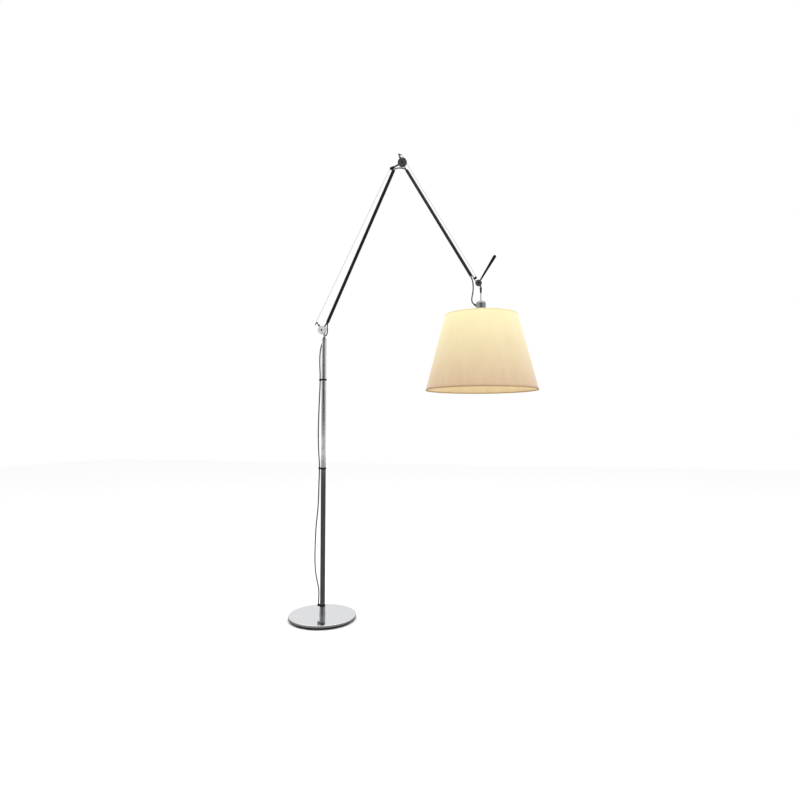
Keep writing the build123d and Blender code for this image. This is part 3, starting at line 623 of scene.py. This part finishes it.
def paper(name, s, glow):
    mat, tree, surface = startMaterial(name)
    weave = coordinates(tree, (1, 1, 1), "UV")
    split = tree.nodes.new("ShaderNodeSeparateXYZ")
    tree.links.new(weave, split.inputs[0])
    threads = []
    for socket, rate in (("X", 1400.0), ("Y", 1000.0)):
        wave = tree.nodes.new("ShaderNodeMath")
        wave.operation = "MULTIPLY"
        wave.inputs[1].default_value = rate
        tree.links.new(split.outputs[socket], wave.inputs[0])
        sine = tree.nodes.new("ShaderNodeMath")
        sine.operation = "SINE"
        tree.links.new(wave.outputs[0], sine.inputs[0])
        threads.append(sine.outputs[0])
    both = tree.nodes.new("ShaderNodeMath")
    both.operation = "ADD"
    tree.links.new(threads[0], both.inputs[0])
    tree.links.new(threads[1], both.inputs[1])
    slub = feed(tree, "ShaderNodeTexNoise", Scale=1.0, Detail=5.0, Roughness=0.6)
    tree.links.new(coordinates(tree, (30, 30, 7)), slub.inputs["Vector"])
    place = tree.nodes.new("ShaderNodeTexCoord")
    height = tree.nodes.new("ShaderNodeSeparateXYZ")
    tree.links.new(place.outputs["Object"], height.inputs[0])
    # painted glow: an emission ramp by height stands in for the bulb's light shining through the paper
    level = mapped(tree, height.outputs["Z"], 0, 1, shadeFoot, shadeTop)
    paintedLampGlow = filledRamp(tree, level, glow)
    # the wall's two ends overlap in a narrow seam at the back, where the painted glow is dimmed
    offSeam = tree.nodes.new("ShaderNodeMath")
    offSeam.operation = "SUBTRACT"
    offSeam.inputs[1].default_value = s["seamTurn"] * math.tau * s["meanRadius"]
    tree.links.new(split.outputs["X"], offSeam.inputs[0])
    farSeam = tree.nodes.new("ShaderNodeMath")
    farSeam.operation = "ABSOLUTE"
    tree.links.new(offSeam.outputs[0], farSeam.inputs[0])
    seam = mapped(tree, farSeam.outputs[0], 0.16, 0, *s["seamHalf"])
    dimmed = mixColour(tree, seam, paintedLampGlow, (0.36, 0.25, 0.11))
    tree.links.new(dimmed, surface.inputs["Emission Color"])
    surface.inputs["Emission Strength"].default_value = 1.0
    slubs = mapped(tree, slub.outputs["Fac"], 0, 1, 0.35, 0.7)
    tone = mixColour(tree, slubs, (0.235, 0.22, 0.19), (0.205, 0.19, 0.16))
    tree.links.new(tone, surface.inputs["Base Color"])
    surface.inputs["Roughness"].default_value = 0.75
    surface.inputs["Sheen Weight"].default_value = 0.3
    surface.inputs["Specular IOR Level"].default_value = 0.25
    bumped(tree, surface, both.outputs[0], 0.25, 0.00005)
    return mat


def makeShade(s):
    shape = bmesh.new()
    bmesh.ops.create_circle(shape, cap_ends=False, segments=s["around"], radius=s["footRadius"])
    bmesh.ops.translate(shape, verts=shape.verts, vec=(0, 0, shadeFoot))
    edges = list(shape.edges)
    step = (shadeTop - shadeFoot) / s["rings"]
    for i in range(s["rings"]):
        out = bmesh.ops.extrude_edge_only(shape, edges=edges)["geom"]
        verts = [g for g in out if isinstance(g, bmesh.types.BMVert)]
        edges = [g for g in out if isinstance(g, bmesh.types.BMEdge)]
        before = s["footRadius"] + (s["topRadius"] - s["footRadius"]) * i / s["rings"]
        after = s["footRadius"] + (s["topRadius"] - s["footRadius"]) * (i + 1) / s["rings"]
        bmesh.ops.translate(shape, verts=verts, vec=(0, 0, step))
        bmesh.ops.scale(shape, verts=verts, vec=(after / before, after / before, 1))
    bmesh.ops.recalc_face_normals(shape, faces=shape.faces)
    layer = shape.loops.layers.uv.verify()
    for face in shape.faces:
        face.smooth = True
        base = None
        for loop in face.loops:
            turn = math.atan2(loop.vert.co.y, loop.vert.co.x) / math.tau
            base = turn if base is None else base
            turn += round(base - turn)
            loop[layer].uv = (turn * math.tau * s["meanRadius"], loop.vert.co.z)
    bmesh.ops.translate(shape, verts=shape.verts, vec=(shadeAxis.x, 0, 0))
    mesh = bpy.data.meshes.new("shadeSkin")
    shape.to_mesh(mesh)
    shape.free()
    piece = bpy.data.objects.new("shadeSkin", mesh)
    scene.collection.objects.link(piece)
    solid = piece.modifiers.new("thickness", "SOLIDIFY")
    solid.thickness = s["thickness"]
    solid.offset = -1
    solid.material_offset = 1
    # the inside face gets a brighter painted glow than the outside, standing in for the bulb shining straight
    # onto it
    mesh.materials.append(paper("shadePaper", s, s["outerGlow"]))
    mesh.materials.append(paper("shadeInsidePaintedGlow", s, s["innerGlow"]))
    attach(piece, "shade")
    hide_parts("shade_wall")


makeShade(shadeSettings)
trimFinish = plasticFinish("footBinding", (0.38, 0.27, 0.145), (0.32, 0.22, 0.115), (0.6, 0.8), 900, 0.00005)
# the top trim glows: painted emission matching the shade's painted glow near the top
topTrimPaintedGlow = plasticFinish("topBindingPaintedGlow", (0.20, 0.18, 0.14), (0.17, 0.15, 0.11), (0.6, 0.8), 900, 0.00005)
topSurface = topTrimPaintedGlow.node_tree.nodes["Principled BSDF"]
topSurface.inputs["Emission Color"].default_value = (0.66, 0.56, 0.29, 1)
topSurface.inputs["Emission Strength"].default_value = 1.0
for name, mat in (("shade_foot_trim", trimFinish), ("shade_top_trim", topTrimPaintedGlow)):
    mesh = frame["nodes"][name].data
    mesh.materials.clear()
    mesh.materials.append(mat)


def bulbGlow():
    mat, tree, surface = startMaterial("opalGlass")
    noise = feed(tree, "ShaderNodeTexNoise", Scale=1.0, Detail=2.0)
    tree.links.new(coordinates(tree, (60, 60, 60)), noise.inputs["Vector"])
    tree.links.new(mixColour(tree, noise.outputs["Fac"], (1.0, 0.93, 0.62), (1.0, 0.90, 0.57)),
                   surface.inputs["Emission Color"])
    surface.inputs["Emission Strength"].default_value = 19
    surface.inputs["Base Color"].default_value = (0.9, 0.88, 0.8, 1)
    surface.inputs["Roughness"].default_value = 0.3
    return mat


bulbSettings = {
    # radius and height below the wrist, in metres
    "profile": [(0.0000, -0.2720), (0.0070, -0.2718), (0.0150, -0.2693), (0.0225, -0.2640), (0.0275, -0.2545),
                (0.0300, -0.2420), (0.0288, -0.2310), (0.0252, -0.2210), (0.0205, -0.2120), (0.0160, -0.2030),
                (0.0134, -0.1950), (0.0126, -0.1882)],
    "segments": 48,
}


def spun(name, profile, segments, place, matrix=None):
    shape = bmesh.new()
    verts = [shape.verts.new((r, 0, z)) for r, z in profile]
    edges = [shape.edges.new(pair) for pair in zip(verts, verts[1:])]
    bmesh.ops.spin(shape, geom=verts + edges, cent=(0, 0, 0), axis=(0, 0, 1), dvec=(0, 0, 0),
                   angle=math.tau, steps=segments, use_merge=True, use_duplicate=False)
    bmesh.ops.remove_doubles(shape, verts=shape.verts, dist=1e-6)
    bmesh.ops.recalc_face_normals(shape, faces=shape.faces)
    if matrix:
        bmesh.ops.transform(shape, verts=shape.verts, matrix=matrix)
    bmesh.ops.translate(shape, verts=shape.verts, vec=place)
    for face in shape.faces:
        face.smooth = True
    mesh = bpy.data.meshes.new(name)
    shape.to_mesh(mesh)
    shape.free()
    piece = bpy.data.objects.new(name, mesh)
    scene.collection.objects.link(piece)
    return piece


def makeBulb(s):
    bulb = spun("opalBulb", s["profile"], s["segments"], (shadeAxis.x, 0, wrist.z))
    smooth = bulb.modifiers.new("smooth", "SUBSURF")
    smooth.levels = smooth.render_levels = 1
    bulb.data.materials.append(bulbGlow())
    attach(bulb, "head")
    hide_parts("bulb_glass")


makeBulb(bulbSettings)

reliefSettings = {
    "bore": 0.00315,
    "thick": 0.0043,
    "thin": 0.0036,
    "ribs": 6,
    "start": -0.0038,
    "end": 0.0110,
    "foot": (-0.0235, -0.1072),  # from the shade's axis and the wrist
    "lean": 140,
}


def makeRelief(s):
    # ribbed rubber sleeve where the cord goes into the dome
    span = s["end"] - s["start"]
    profile = [(0.0, s["start"]), (s["thick"], s["start"])]
    for i in range(s["ribs"]):
        a = s["start"] + span * (0.30 + 0.66 * i / s["ribs"])
        step = span * 0.66 / s["ribs"]
        profile += [(s["thick"], a), (s["thin"], a + 0.25 * step), (s["thin"], a + 0.6 * step),
                    (s["thick"], a + 0.85 * step)]
    profile += [(s["thick"], s["end"] - 0.0004), (s["thick"] - 0.0004, s["end"]), (s["bore"], s["end"]),
                (s["bore"], 0.0031), (0.0, 0.0031)]
    turn = Matrix.Rotation(math.radians(s["lean"] - 90), 4, "Y").inverted()
    place = (shadeAxis.x + s["foot"][0], 0, wrist.z + s["foot"][1])
    relief = spun("ribbedSleeve", profile, 32, place, turn)
    relief.data.materials.append(finishes["rubber"])
    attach(relief, "head")
    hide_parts("cord_relief")


makeRelief(reliefSettings)
print("shade, bulb and sleeve done")
